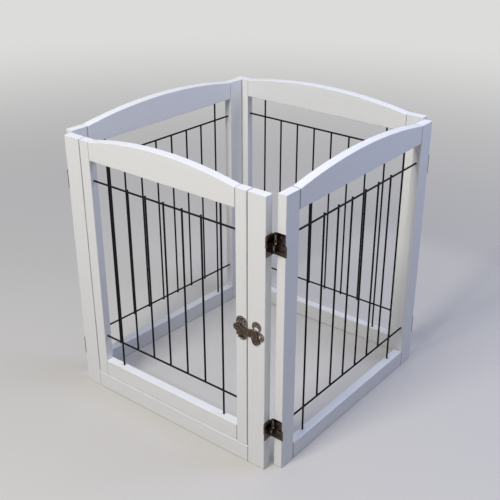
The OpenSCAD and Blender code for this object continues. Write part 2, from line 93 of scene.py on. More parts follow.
def seen_rays(tree):
    """1 for rays from the camera, from glossy surfaces and through clear ones, 0 for all others."""
    rays = add_node(tree, "LightPath").outputs
    seen = add_node(tree, "Math", {0: rays["Is Camera Ray"], 1: rays["Is Glossy Ray"]}, operation="MAXIMUM")
    return add_node(tree, "Math", {0: seen.outputs[0], 1: rays["Is Transmission Ray"]}, operation="MAXIMUM")


def finish_material(tree, shader, bump=None):
    """Links a shader, and the bump that shapes its normal, to the material's output."""
    if bump is not None:
        tree.links.new(bump.outputs["Normal"], shader.inputs["Normal"])
    add_node(tree, "OutputMaterial", {"Surface": shader.outputs["BSDF"]})


print("white chip #e8e8e4 is linear", [round(v, 3) for v in linear("#e8e8e4")[:3]])

# %% [markdown]
# ## Where each panel stands
# A panel has its own plan: x along its width, y from its outer face inwards, z up, in millimetres. The joints of
# the CAD model say where the corner pins are and how far each panel has turned from the straight line, and that
# is all that is needed to carry a point from a panel's plan into the room.

# %% Panel plans
joints = {j["name"]: j for j in frame["joints"]}
left_low, left_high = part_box("front_stile_left")
right_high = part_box("front_stile_right")[1]
PANEL_W = (right_high.x - left_low.x) / MM
PANEL_T = (left_high.y - left_low.y) / MM
STILE_H = left_high.z / MM
JAMB_W = (left_high.x - left_low.x) / MM
STILE_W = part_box("right_bottom_rail")[1].z / MM
PIN_OFF = joints["near_corner_fold"]["pos_m"][0] / MM - PANEL_W / 2


def turn(degrees):
    """Rotation matrix about Z."""
    a = math.radians(degrees)
    return np.array([[math.cos(a), -math.sin(a), 0], [math.sin(a), math.cos(a), 0], [0, 0, 1]])


def pin_at(joint):
    """A corner pin's place on the floor, in mm."""
    x, y, _ = joints[joint]["pos_m"]
    return np.array([x / MM, y / MM, 0])


RIGHT_TURN = joints["near_corner_fold"]["range_deg"][1]
BACK_TURN = RIGHT_TURN + joints["right_corner_fold"]["range_deg"][1]
LEFT_TURN = -joints["left_corner_fold"]["range_deg"][1]
first_end = np.array([PIN_OFF, -PANEL_T - PIN_OFF, 0])
last_end = np.array([-PANEL_W - PIN_OFF, -PANEL_T - PIN_OFF, 0])
PLANS = {
    "front": (np.array([-PANEL_W / 2, -PANEL_T / 2, 0]), 0, np.zeros(3)),
    "right": (pin_at("near_corner_fold"), RIGHT_TURN, first_end),
    "back": (pin_at("right_corner_fold"), BACK_TURN, first_end),
    "left": (pin_at("left_corner_fold"), LEFT_TURN, last_end),
}


def in_room(panel, points):
    """Carries points (n, 3) in mm from a panel's plan into the room: pin + turned (point + offset)."""
    origin, degrees, offset = PLANS[panel]
    return origin + (np.asarray(points, float) + offset) @ turn(degrees).T


print("panel", round(PANEL_W, 1), "x", round(PANEL_T, 1), "mm; pins", round(PIN_OFF, 2), "mm off the ends")

# %% [markdown]
# ## The camera
# The gate is seen from its front right corner, from a little over a metre up, looking 27 degrees down through a
# slightly long lens. The direction comes from two angles, turned and tilted, with no shift of the frame.

# %% Camera
CAMERA_AT = np.array([1046.3, -1081.9, 1173.3]) * MM
CAMERA_TURN, CAMERA_TILT, CAMERA_LENS = 37.72, 27.10, 62.52
camera = bpy.data.objects.new("camera", bpy.data.cameras.new("camera"))
bpy.context.scene.collection.objects.link(camera)
camera.data.lens, camera.data.sensor_width = CAMERA_LENS, 36
camera.location = CAMERA_AT
camera.rotation_euler = (math.radians(90 - CAMERA_TILT), 0, math.radians(CAMERA_TURN))
bpy.context.scene.camera = camera
print("camera", camera.location[:], "lens", camera.data.lens)

# %% [markdown]
# ## From arrays to a mesh
# Every new shape below is a grid of points, worked out as whole arrays. A grid that runs round a closed section
# wraps in that direction, and its two ends are closed with a fan to one middle point. These functions number the
# faces so that they point outwards.

# %% Surface tools
def grid_faces(rows, columns):
    """Four-sided faces of a grid whose rows follow each other and whose columns run round and close."""
    i, j = np.meshgrid(np.arange(rows - 1), np.arange(columns), indexing="ij")
    k = (j + 1) % columns
    here, above = i * columns, (i + 1) * columns
    return np.stack([here + j, here + k, above + k, above + j], -1).reshape(-1, 4)


def closed_skin(rings, first_pole, last_pole):
    """Skin over rings (rows, columns, 3), closed with a fan to a pole at each end."""
    rows, columns, _ = rings.shape
    points = np.concatenate([rings.reshape(-1, 3), [first_pole], [last_pole]])
    j = np.arange(columns)
    k, first, last = (j + 1) % columns, rows * columns, rows * columns + 1
    start = np.stack([np.full(columns, first), k, j], -1)
    end = np.stack([np.full(columns, last), (rows - 1) * columns + j, (rows - 1) * columns + k], -1)
    return points, [grid_faces(rows, columns), start, end]


def outward(points, faces):
    """Turns all faces over if the skin's volume, the sum of its triangles' triple products, is negative."""
    volume = 0.0
    for f in faces:
        for n in range(1, f.shape[1] - 1):
            a, b, c = points[f[:, 0]], points[f[:, n]], points[f[:, n + 1]]
            volume += np.einsum("ij,ij->i", a, np.cross(b, c)).sum()
    return faces if volume > 0 else [f[:, ::-1] for f in faces]


def piece(name, skins, body, node, material, smooth=32, rub=None):
    """Joins skins, given in mm in the room, into one mesh that rides on a body in place of a CAD node."""
    points, faces, count = [], [], 0
    for p, fs in skins:
        p = np.asarray(p, float)
        faces += [row for f in outward(p - p.mean(0), fs) for row in (f + count).tolist()]
        points.append(p)
        count += len(p)
    mesh = bpy.data.meshes.new(name)
    mesh.from_pydata((np.concatenate(points) * MM).tolist(), [], faces)
    if rub is not None:
        mesh.attributes.new("rub", "FLOAT", "POINT").data.foreach_set("value", np.concatenate(rub))
    mesh.shade_smooth()
    mesh.set_sharp_from_angle(angle=math.radians(smooth))
    mesh.materials.append(material)
    obj = bpy.data.objects.new(name, mesh)
    bpy.context.scene.collection.objects.link(obj)
    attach(obj, body)
    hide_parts(node)
    print(name, "has", len(mesh.polygons), "faces")
    return obj


print("surface tools ready")

# %% [markdown]
# ## Two families of shape
# A lathe shape turns a profile round an axis: wires, barrels, pins and screw heads. A carried shape moves a
# section along a path: a rolled hinge knuckle, a bent lip, a ring. With these two and the flat plates further
# down, all the metal can be made.

# %% Lathe and carried shapes
def across(axis):
    """Two unit vectors square to an axis and to each other."""
    axis = np.asarray(axis, float) / np.linalg.norm(axis)
    side = np.cross(axis, [0, 0, 1] if abs(axis[2]) < 0.9 else [1, 0, 0])
    side /= np.linalg.norm(side)
    return axis, side, np.cross(axis, side)


def lathe(profile, start, axis, sides=20):
    """Profile rows (radius r, height s): P = start + s * axis + r * (cos a * side + sin a * other side)."""
    axis, side, other = across(axis)
    a = np.linspace(0, 2 * math.pi, sides, endpoint=False)
    circle = np.cos(a)[:, None] * side + np.sin(a)[:, None] * other
    r, s = np.asarray(profile, float).T
    start = np.asarray(start, float)
    rings = start + s[:, None, None] * axis + r[:, None, None] * circle
    return closed_skin(rings, start + s[0] * axis, start + s[-1] * axis)


def rod_profile(radius, length, ease, dome=0.0, steps=4):
    """Half outline of a rod: an eased rim at each end, with the end faces raised by a dome."""
    a = np.linspace(0, math.pi / 2, steps + 1)
    rim_r = radius - ease + ease * np.sin(a)
    rim_s = ease - ease * np.cos(a)
    face_r = np.array([0.25, 0.6, 0.92]) * (radius - ease)
    face_s = -dome * np.cos(face_r / (radius - ease) * math.pi / 2)
    low = np.stack([np.concatenate([face_r, rim_r]), np.concatenate([face_s, rim_s])], -1)
    high = low[::-1] * [1, -1] + [0, length]
    return np.concatenate([low, high])


def rounded_section(width, height, ease, steps=3):
    """Outline of a bar's section, with quarter circles at the corners and a close row beside each."""
    a = np.linspace(0, math.pi / 2, steps + 1)
    quarter = np.stack([np.cos(a), np.sin(a)], -1) * ease
    near = min(ease * 0.6, width / 8, height / 8)
    corner = np.concatenate([[[ease, -near]], quarter, [[-near, ease]]]) + [width / 2 - ease, height / 2 - ease]
    flip = corner[::-1]
    return np.concatenate([corner, flip * [-1, 1], corner * [-1, -1], flip * [1, -1]])


def carried(path, section, up, scale=None):
    """Section rows (a, b) along a path: P = path + a * w * normal + b * up, with w the scale at each path point."""
    path, up = np.asarray(path, float), np.asarray(up, float)
    tangent = np.gradient(path, axis=0)
    tangent /= np.linalg.norm(tangent, axis=1, keepdims=True)
    normal = np.cross(up, tangent)
    w = np.ones(len(path)) if scale is None else np.asarray(scale, float)
    a, b = np.asarray(section, float).T
    rings = path[:, None] + (w[:, None] * a)[..., None] * normal[:, None] + b[None, :, None] * up
    return closed_skin(rings, rings[0].mean(0), rings[-1].mean(0))


print("lathe and carried shapes ready")

# %% [markdown]
# ## White satin paint on wood
# The panels are softwood, sanded and sprayed with white satin paint. A sprayed coat is thin: the wood's grain
# still stands up a few hundredths of a millimetre under it as long faint streaks, the film has the fine waviness
# that painters call orange peel, and its thickness varies, so that gloss and tone drift a little. Each board has
# its own stretch of grain, along its own length.

# %% Paint material
# Paint tones: the white, its thinner streaks, a painted shade for the foot of each board, and the dark of the joint
# lines.
PAINT, PAINT_THIN, PAINT_FLOOR_SHADE, SEAM = "#f0f0ee", "#ecece9", "#cbc9c5", "#6f6b66"
GRAIN_WIDTH, GRAIN_LENGTH = 3.2, 170.0   # mm; a real grain line is 1 to 2 mm wide, drawn wider so that it shows
PEEL_SIZE, DRIFT_SIZE = 1.6, 60.0        # mm: orange peel, and the drift of the coat's thickness
# Width of the joint lines in mm: a real one is 0.3 to 0.6 mm, drawn wider on the panels seen at a slant
SEAM_WIDE = {"front": 1.2, "right": 2.4, "back": 0.8, "left": 1.0}


def joint_line(tree, place, axis, middle, half, wide):
    """Darkening at a rail's ends: high where | |P . axis - middle| - half | is 0, fading to 0 at wide."""
    run = add_node(tree, "VectorMath", {0: place, 1: tuple(axis)}, operation="DOT_PRODUCT").outputs["Value"]
    off = add_node(tree, "Math", {0: run, 1: middle * MM}, operation="SUBTRACT").outputs[0]
    off = add_node(tree, "Math", {0: off}, operation="ABSOLUTE").outputs[0]
    off = add_node(tree, "Math", {0: off, 1: half * MM}, operation="SUBTRACT").outputs[0]
    off = add_node(tree, "Math", {0: off}, operation="ABSOLUTE").outputs[0]
    return add_node(tree, "MapRange", {"Value": off, "From Min": 0.3 * wide * MM, "From Max": wide * MM,
                                       "To Min": 0.85, "To Max": 0.0}).outputs[0]


def satin_white_paint(name, degrees, upright, shift, ends=None):
    """Sprayed satin paint whose grain runs up the board, or along it when it lies, turned with its panel, with
    painted shade at its foot.
    """
    material, tree = new_material(name)
    place = add_node(tree, "TexCoord").outputs["Object"]
    size = (GRAIN_WIDTH, GRAIN_WIDTH, GRAIN_LENGTH) if upright else (GRAIN_LENGTH, GRAIN_WIDTH, GRAIN_WIDTH)
    board = add_node(tree, "Mapping", {
        "Vector": place, "Location": (shift, shift * 0.7, shift * 1.3), "Rotation": (0, 0, math.radians(degrees)),
        "Scale": tuple(s * MM for s in size)}, vector_type="TEXTURE")
    grain = add_node(tree, "TexNoise", {"Vector": board.outputs[0], "Scale": 1.0, "Detail": 4.0, "Roughness": 0.62})
    drift = add_node(tree, "TexNoise", {"Vector": place, "Scale": 1 / (DRIFT_SIZE * MM), "Detail": 2.0})
    peel = add_node(tree, "TexNoise", {"Vector": place, "Scale": 1 / (PEEL_SIZE * MM), "Detail": 1.0})
    streak = add_node(tree, "MapRange", {"Value": grain.outputs["Fac"], "From Min": 0.38, "From Max": 0.72})
    tone = add_node(tree, "Mix", {
        "Factor": streak.outputs[0], "A": linear(PAINT), "B": linear(PAINT_THIN)}, data_type="RGBA")
    height = add_node(tree, "SeparateXYZ", {"Vector": place})
    # Painted shade: the paint darkens over the lowest 5 mm of the board, towards the floor, standing in for the shade
    # where the board meets the floor.
    floor_shade = add_node(tree, "MapRange", {"Value": height.outputs["Z"], "From Min": 0.005, "From Max": 0.0,
                                        "To Max": 0.6})
    floor_shaded_tone = add_node(tree, "Mix", {
        "Factor": floor_shade.outputs[0], "A": tone.outputs["Result"], "B": linear(PAINT_FLOOR_SHADE)}, data_type="RGBA")
    if ends is not None:
        floor_shaded_tone = add_node(tree, "Mix", {
            "Factor": joint_line(tree, place, *ends), "A": floor_shaded_tone.outputs["Result"], "B": linear(SEAM)},
            data_type="RGBA")
    gloss = add_node(tree, "MapRange", {"Value": drift.outputs["Fac"], "From Min": 0.3, "From Max": 0.7,
                                        "To Min": 0.36, "To Max": 0.5})
    raised = add_node(tree, "Bump", {"Height": grain.outputs["Fac"], "Strength": 0.15, "Distance": 0.00006})
    waved = add_node(tree, "Bump", {"Height": peel.outputs["Fac"], "Normal": raised.outputs[0], "Strength": 0.25,
                                    "Distance": 0.00003})
    shader = add_node(tree, "BsdfPrincipled", {
        "Base Color": floor_shaded_tone.outputs["Result"], "Roughness": gloss.outputs[0], "IOR": 1.5})
    finish_material(tree, shader, waved)
    return material


print("grain lines", GRAIN_WIDTH, "mm wide, orange peel", PEEL_SIZE, "mm")

# %% [markdown]
# The CAD boards already have the right outline and eased edges, so they stay, and each gets the paint with its own
# place in the grain.

# %% Paint the boards
def rail_ends(panel, node):
    """Axis, middle and half length of a rail in its panel, for the joint lines on its two ends, and their width."""
    jamb = STILE_W if panel != "front" else JAMB_W
    if node.startswith("door"):
        jamb = (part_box("door_top_rail")[0].x - left_low.x) / MM
    axis = turn(PLANS[panel][1]) @ [1, 0, 0]
    return axis, float(in_room(panel, [[PANEL_W / 2, 0, 0]])[0] @ axis), PANEL_W / 2 - jamb, SEAM_WIDE[panel]


boards = [n for n in frame["nodes"] if n.endswith("rail") or "_stile_" in n]
for number, node in enumerate(sorted(boards)):
    panel = node.split("_")[0].replace("door", "front")
    ends = rail_ends(panel, node) if node.endswith("rail") else None
    paint = satin_white_paint("satin_white_paint_" + node, PLANS[panel][1], "_stile_" in node, 0.113 * number, ends)
    mesh = frame["nodes"][node].data
    mesh.materials.clear()
    mesh.materials.append(paint)
print(len(boards), "boards painted")

# %% [markdown]
# ## Beech dowels
# The dowels that pin rails to stiles are inside the wood. They are plain turned beech: a pale tan with short
# darker flecks along the rod.

# %% Dowel material
def turned_beech():
    """Bare beech with fine flecks about 0.8 mm wide and a few millimetres long."""
    material, tree = new_material("turned_beech")
    place = add_node(tree, "TexCoord").outputs["Object"]
    flecks = add_node(tree, "Mapping", {"Vector": place, "Scale": (0.005, 0.0008, 0.0008)}, vector_type="TEXTURE")
    fleck = add_node(tree, "TexNoise", {"Vector": flecks.outputs[0], "Scale": 1.0, "Detail": 3.0})
    tone = add_node(tree, "Mix", {
        "Factor": fleck.outputs["Fac"], "A": linear("#d6b98c"), "B": linear("#b08d5f")}, data_type="RGBA")
    grain = add_node(tree, "Bump", {"Height": fleck.outputs["Fac"], "Strength": 0.3, "Distance": 0.00005})
    shader = add_node(tree, "BsdfPrincipled", {"Base Color": tone.outputs["Result"], "Roughness": 0.62})
    finish_material(tree, shader, grain)
    return material


beech = turned_beech()
for node in [n for n in frame["nodes"] if n.endswith("_dowels")]:
    frame["nodes"][node].data.materials.clear()
    frame["nodes"][node].data.materials.append(beech)
print("dowels finished")

# %% [markdown]
# ## Black powder coat
# The wires are steel, welded where they cross and then powder coated. Powder melts into an even, slightly pebbled
# film with a soft sheen.

# %% Wire material
PEBBLE_SIZE = 0.9   # mm; the real pebble is about half this


def black_powder_coat():
    """Powder coat: near-black, a soft sheen, and a pebbled film."""
    material, tree = new_material("black_powder_coat")
    place = add_node(tree, "TexCoord").outputs["Object"]
    pebble = add_node(tree, "TexNoise", {"Vector": place, "Scale": 1 / (PEBBLE_SIZE * MM), "Detail": 2.0})
    film = add_node(tree, "TexNoise", {"Vector": place, "Scale": 1 / (25 * MM), "Detail": 2.0})
    tone = add_node(tree, "Mix", {
        "Factor": film.outputs["Fac"], "A": linear("#070708"), "B": linear("#0f0f10")}, data_type="RGBA")
    gloss = add_node(tree, "MapRange", {"Value": pebble.outputs["Fac"], "To Min": 0.45, "To Max": 0.62})
    bump = add_node(tree, "Bump", {"Height": pebble.outputs["Fac"], "Strength": 0.4, "Distance": 0.00006})
    shader = add_node(tree, "BsdfPrincipled", {
        "Base Color": tone.outputs["Result"], "Roughness": gloss.outputs[0], "IOR": 1.25})
    finish_material(tree, shader, bump)
    return material


powder_coat = black_powder_coat()
print("powder coat ready, pebble", PEBBLE_SIZE, "mm")

# %% [markdown]
# ## Welded wire grilles
# Two cross wires lie outside and the uprights behind them. The first and last uprights run from rail to rail, and
# the others are sheared off just past the cross wires, which leaves a slightly rounded end. Where two wires cross,
# the weld squeezes up a small bead that fills the corner between them.

# %% Wires
WIRE_R, CROSS_Y, UPRIGHT_Y = 2.0, PANEL_T / 2 - 1, PANEL_T / 2 + 2.7
WIRE_IN, WIRE_OVER, WIRE_PITCH = 8.0, 2.5, 47.0
WIRE_DROP, WIRE_RISE = 45.0, 61.0
BEAD = np.array([2.5, 1.7, 2.5])


def bead(centre, turn_degrees):
    """Weld bead: an ellipsoid, squashed between the wires, P = centre + (a cos u cos v, b sin v, c sin u cos v)."""
    v = np.linspace(-math.pi / 2, math.pi / 2, 7)[1:-1]
    u = np.linspace(0, 2 * math.pi, 10, endpoint=False)
    rings = np.stack(np.broadcast_arrays(
        BEAD[0] * np.cos(u) * np.cos(v)[:, None], BEAD[1] * np.sin(v)[:, None],
        BEAD[2] * np.sin(u) * np.cos(v)[:, None]), -1)
    points, faces = closed_skin(rings, [0, -BEAD[1], 0], [0, BEAD[1], 0])
    return points @ turn(turn_degrees).T + centre, faces


def wire(panel, start, end, dome):
    """One straight wire between two points of a panel's plan, with domed ends."""
    a, b = in_room(panel, [start, end])
    return lathe(rod_profile(WIRE_R, np.linalg.norm(b - a), 0.5, dome), a, b - a, 16)


def grille(name, panel, body, x0, x1, low, high, uprights):
    """All wires of one grille, and a bead at each crossing."""
    z0, z1 = low + WIRE_RISE, high - WIRE_DROP
    skins = [wire(panel, [x0 - WIRE_IN, CROSS_Y, z], [x1 + WIRE_IN, CROSS_Y, z], 0.2) for z in (z0, z1)]
    for x in (x0 + x1) / 2 + (np.arange(uprights) - (uprights - 1) / 2) * WIRE_PITCH:
        long_one = abs(x - (x0 + x1) / 2) > (uprights - 1.5) / 2 * WIRE_PITCH
        start, end = (low - WIRE_IN, high + WIRE_IN) if long_one else (z0 - WIRE_OVER, z1 + WIRE_OVER)
        skins.append(wire(panel, [x, UPRIGHT_Y, start], [x, UPRIGHT_Y, end], 0.2))
        for z in (z0, z1):
            centre = in_room(panel, [[x, (CROSS_Y + UPRIGHT_Y) / 2, z]])[0]
            skins.append(bead(centre, PLANS[panel][1]))
    piece(name + "_wires", skins, body, name + "_grille", powder_coat)


door_low, door_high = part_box("door_top_rail")
door_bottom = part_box("door_bottom_rail")[1].z / MM
door_x = [(v + PANEL_W * MM / 2) / MM for v in (door_low.x, door_high.x)]
grille("door", "front", "door", *door_x, door_bottom, door_low.z / MM, 7)
for side in ("right", "back", "left"):
    grille(side, side, side + "_panel", STILE_W, PANEL_W - STILE_W, STILE_W, STILE_H - STILE_W, 8)

# %% [markdown]
# ## Antique bronze
# The hinges, latch and screws are pressed steel, plated, darkened to an antique bronze and lacquered. The dark
# film is uneven, it is rubbed back to brighter metal on edges, and the lacquer gives a clear gloss over it all.
# The rubbed edges are stored with the mesh, as an attribute named rub. Bright specks on the raised spots of the
# relief are painted highlights, standing in for glints. One function makes three finishes: a plain one, a hammered
# one for the latch plates with strong painted glints and a duller one for the lever that hands touch, with weaker
# ones.

# %% Bronze material
PATCH_SIZE = 6.0   # mm, the blotches of the darkened film


def antique_bronze(name, dark, light, worn_and_glint_tone, smooth, relief, depth, glint_specks):
    """Darkened bronze under lacquer, brighter where rub is high, with painted highlight specks, standing in for
    glints, where the relief (size, depth in mm) stands up.
    """
    material, tree = new_material(name)
    place = add_node(tree, "TexCoord").outputs["Object"]
    blotch = add_node(tree, "TexNoise", {"Vector": place, "Scale": 1 / (PATCH_SIZE * MM), "Detail": 4.0})
    fine = add_node(tree, "TexNoise", {"Vector": place, "Scale": 1 / (0.7 * MM), "Detail": 2.0})
    rub = add_node(tree, "Attribute", attribute_name="rub")
    worn_and_glint_share = add_node(tree, "Math", {0: rub.outputs["Fac"], 1: fine.outputs["Fac"]}, operation="MULTIPLY")
    dents = add_node(tree, "TexNoise", {"Vector": place, "Scale": 1 / (relief * MM), "Detail": 1.0})
    # Painted highlights: where the relief noise stands highest, bright specks of the worn tone stand in for glints.
    raised = add_node(tree, "MapRange", {"Value": dents.outputs["Fac"], "From Min": 0.54, "From Max": 0.61,
                                         "To Max": glint_specks})
    worn_and_glint_share = add_node(tree, "Math", {0: worn_and_glint_share.outputs[0], 1: raised.outputs[0]}, operation="MAXIMUM")
    film = add_node(tree, "Mix", {
        "Factor": blotch.outputs["Fac"], "A": linear(dark), "B": linear(light)}, data_type="RGBA")
    tone = add_node(tree, "Mix", {
        "Factor": worn_and_glint_share.outputs[0], "A": film.outputs["Result"], "B": linear(worn_and_glint_tone)}, data_type="RGBA")
    gloss = add_node(tree, "MapRange", {"Value": blotch.outputs["Fac"], "From Min": 0.3, "From Max": 0.7,
                                        "To Min": smooth, "To Max": smooth + 0.14})
    dented = add_node(tree, "Bump", {"Height": dents.outputs["Fac"], "Strength": 0.8, "Distance": depth * MM})
    bump = add_node(tree, "Bump", {"Height": fine.outputs["Fac"], "Normal": dented.outputs[0], "Strength": 0.25,
                                   "Distance": 0.00005})
    shader = add_node(tree, "BsdfPrincipled", {
        "Base Color": tone.outputs["Result"], "Metallic": 1.0, "Roughness": gloss.outputs[0],
        "Coat Weight": 0.5, "Coat Roughness": 0.12})
    finish_material(tree, shader, bump)
    return material


bronze = antique_bronze("antique_bronze", "#261e19", "#54443a", "#8f7961", 0.2, 6.0, 0.05, 0.0)
# The hammered and handled finishes paint bright specks as highlights, standing in for glints; the plain one paints
# none.
hammered = antique_bronze("hammered_bronze_painted_glints", "#1c1613", "#40332b", "#c4b9ae", 0.14, 2.6, 0.5, 0.8)
handled = antique_bronze("handled_bronze_painted_glints", "#2a211a", "#5e4b3b", "#98836d", 0.28, 5.0, 0.2, 0.3)
print("three bronze finishes ready")

# %% [markdown]
# ## Pressed plates
# A hinge leaf or latch plate is stamped from sheet. Its outline is a set of points round a middle, and its surface
# runs from the middle of the back, over the edge with a small rounding, to the middle of the front, which may be
# slightly crowned. Points near the edge get a high rub value.

# %% Plate tools
def plate(outline, thick, ease, to_room, crown=0.0, middle=None):
    """Stamped plate: rings inset from the outline by d at height h, where (d, h) follows the rounded edge."""
    outline = np.asarray(outline, float)
    middle = outline.mean(0) if middle is None else np.asarray(middle, float)
    along = np.roll(outline, -1, 0) - np.roll(outline, 1, 0)
    inward = np.stack([-along[:, 1], along[:, 0]], -1) / np.linalg.norm(along, axis=1, keepdims=True)
    a = np.linspace(0, math.pi / 2, 4)
    edge = [(ease * (1 - math.sin(t)), ease * (1 - math.cos(t))) for t in a]
    low = [(ease + 0.15, 0.0)] + edge
    high = [(d, thick - h) for d, h in low[::-1]]
    rings = [np.column_stack([outline + d * inward, np.full(len(outline), h)]) for d, h in low + high]
    top = rings[-1]
    for share in (0.75, 0.5, 0.25):
        inner = top.copy()
        inner[:, :2] = middle + (top[:, :2] - middle) * share
        inner[:, 2] += crown * math.cos(share * math.pi / 2)
        rings.append(inner)
    rings = np.array(rings)
    points, faces = closed_skin(rings, [*middle, 0], [*middle, thick + crown])
    rub = np.concatenate([np.repeat([0, 0.3, 0.9, 0.9, 0.3, 0.3, 0.9, 1.0, 0.5, 0.15, 0, 0, 0][:len(rings)],
                                    len(outline)), [0, 0]])
    return (to_room(points), faces), rub


def rounded_rectangle(x0, y0, x1, y1, corner, steps=5, fill=6):
    """Outline of a rectangle with rounded corners, anticlockwise, with extra points along its sides."""
    a = np.linspace(0, math.pi / 2, steps)
    quarter = np.stack([np.cos(a), np.sin(a)], -1) * corner
    corners = []
    for k, (cx, cy) in enumerate(((x1, y1), (x0, y1), (x0, y0), (x1, y0))):
        spin = turn(90 * k)[:2, :2]
        inset = np.array([cx, cy]) - np.sign([cx - (x0 + x1) / 2, cy - (y0 + y1) / 2]) * corner
        corners.append(quarter @ spin.T + inset)
    out = []
    for k in range(4):
        out.append(corners[k])
        start, end = corners[k][-1], corners[(k + 1) % 4][0]
        out.append(start + (end - start) * np.linspace(0, 1, fill + 2)[1:-1, None])
    return np.concatenate(out)


def lobes(circles, middle, points=120):
    """Outline of a group of discs seen from a middle point: the farthest place where each ray leaves a disc."""
    a = np.linspace(0, 2 * math.pi, points, endpoint=False)
    ray = np.stack([np.cos(a), np.sin(a)], -1)
    reach = np.zeros(points)
    for cx, cy, r in circles:
        offset = np.array([cx, cy]) - middle
        along = ray @ offset
        inside = r * r - (offset @ offset - along ** 2)
        exit_at = along + np.sqrt(np.maximum(inside, 0))
        reach = np.maximum(reach, np.where(inside > 0, exit_at, 0))
    return np.asarray(middle) + ray * reach[:, None]


print("plate tools ready")

# %% [markdown]
# ## Corner hinges
# The near corner's hinge folds both ways because it has two rows of pins. In its upper half the first panel's leaf
# is rolled round the outer pin, and in its lower half round the inner one; the other panel's leaf does the opposite.
# Half-height links join outer pin to inner pin, each beside its own panel's leaf. The other two corners have plain
# hinges with five knuckles on the inside. All of it is drawn about the inner pin, with the first panel towards -X,
# and then turned into its corner.

# %% Hinge sizes and corner placements
HINGE_HEIGHTS = (495.5, 93.5)
HALF_H, SPLIT, KNUCKLE_GAP = 21.25, 0.3, 0.4
LEAF_T, KNUCKLE_R, PIN_R, ROLL_T = 1.3, 1.7, 0.95, 0.7
OUTER_Y = -(PANEL_T + 2 * PIN_OFF)
KNUCKLE_STEP = (HALF_H - SPLIT) / 3
KNUCKLE_H = KNUCKLE_STEP - KNUCKLE_GAP
PLAIN_STEP = HALF_H * 2 / 5
STUB_END, SPLIT_END = KNUCKLE_R + 0.45, PIN_R + 0.45   # where a leaf's sheet stops short of a knuckle or a pin
SWAP = np.diag([-1.0, 1.0, -1.0])
MIRROR = np.diag([-1.0, 1.0, 1.0])
CORNERS = {
    "near": (pin_at("near_corner_fold"), np.eye(3), RIGHT_TURN, "front", "right"),
    "far": (pin_at("right_corner_fold"), turn(RIGHT_TURN), BACK_TURN - RIGHT_TURN, "right", "back"),
    "left": (pin_at("left_corner_fold"), MIRROR, -LEFT_TURN, "front", "left"),
}


def corner_frame(corner, second, height):
    """Function that carries hinge points to one corner: pin + M p, with the second side swapped and turned."""
    origin, base, fold, _, _ = CORNERS[corner]
    matrix = base @ turn(fold) @ SWAP if second else base
    return lambda p: np.asarray(p, float) @ matrix.T + origin + [0, 0, height]


def knuckle_z(step):
    """Height of a knuckle's lower end above the hinge's middle."""
    return SPLIT + step * KNUCKLE_STEP + KNUCKLE_GAP / 2


print(len(CORNERS) * len(HINGE_HEIGHTS), "corner hinges, knuckles", round(KNUCKLE_H, 2), "mm high")

# %% [markdown]
# A leaf's knuckle is the sheet itself, rolled round the pin. Its path leaves the plate's edge, slants across to the
# pin and runs most of the way round it. Where the other side's knuckle sits, the sheet stops just short of it.

# %% Leaves
def roll_path(side):
    """Middle line of a rolled knuckle: down the plate, along the tangent to a circle about (0, 0), then round it."""
    ring = KNUCKLE_R - ROLL_T / 2
    start = np.array([-PIN_OFF + LEAF_T / 2, PIN_OFF + 0.1])
    heading = math.atan2(-start[1], -start[0]) - math.asin(ring / np.linalg.norm(start))
    t = np.linspace(heading - math.pi / 2, math.radians(160), 28)
    circle = np.stack([ring * np.cos(t), ring * np.sin(t)], -1)
    slant = np.linspace(start, circle[0], 9)[:-1]
    path = np.concatenate([[start + [0, 0.9], start + [0, 0.4]], slant, circle])
    return np.column_stack([path[:, 0], path[:, 1] * side, np.zeros(len(path))])


def leaf_knuckles(corner, second):
    """Side, pin line and lowest height of each knuckle of one leaf, and how tall a knuckle is."""
    if corner == "near":
        upper = [(1, OUTER_Y, knuckle_z(step)) for step in (0, 2)]
        return upper + [(-1, 0, -knuckle_z(step) - KNUCKLE_H) for step in (0, 2)], KNUCKLE_H
    steps = range(1 if second else 0, 5, 2)
    return [(-1, 0, -HALF_H + step * PLAIN_STEP + KNUCKLE_GAP / 2) for step in steps], PLAIN_STEP - KNUCKLE_GAP


def stub(side, y, low, tall, end):
    """The sheet's edge where it has no knuckle: the slanting strip, cut off at a distance from the pin's axis."""
    path = roll_path(side)[:11]
    path = path[np.hypot(path[:, 0], path[:, 1]) > end]
    p, f = carried(path + [0, y, low + tall / 2], rounded_section(ROLL_T, tall, 0.15), [0, 0, 1])
    return p, f


def leaf(corner, second, height):
    """One leaf: a plate on the panel's end and its rolled knuckles."""
    place = corner_frame(corner, second, height)
    outline = rounded_rectangle(OUTER_Y + PIN_OFF, -HALF_H, -PIN_OFF, HALF_H, 1.0)
    skins, rubs = [], []

    def on_end(p):
        return place(np.column_stack([p[:, 2] - PIN_OFF, p[:, 0], p[:, 1]]))

    skin, rub = plate(outline, LEAF_T, 0.25, on_end)
    skins.append(skin)
    rubs.append(rub * 0.5)
    knuckles, tall = leaf_knuckles(corner, second)
    if corner == "near":
        beside = [(1, OUTER_Y, knuckle_z(1), KNUCKLE_H, STUB_END),
                  (-1, 0, -knuckle_z(1) - KNUCKLE_H, KNUCKLE_H, STUB_END),
                  (-1, 0, -0.9 * SPLIT, 1.8 * SPLIT, SPLIT_END)]
        for side, y, z, h, end in beside:
            p, f = stub(side, y, z, h, end)
            skins.append((place(p), f))
            rubs.append(np.full(len(p), 0.15))
    section = rounded_section(ROLL_T, tall, 0.15)
    for side, y, z in knuckles:
        p, f = carried(roll_path(side) + [0, y, z + tall / 2], section, [0, 0, 1])
        skins.append((place(p), f))
        rubs.append(np.where(np.abs(p[:, 2] - z - tall / 2) > tall / 2 - 0.25, 0.4, 0.15))
    return skins, rubs


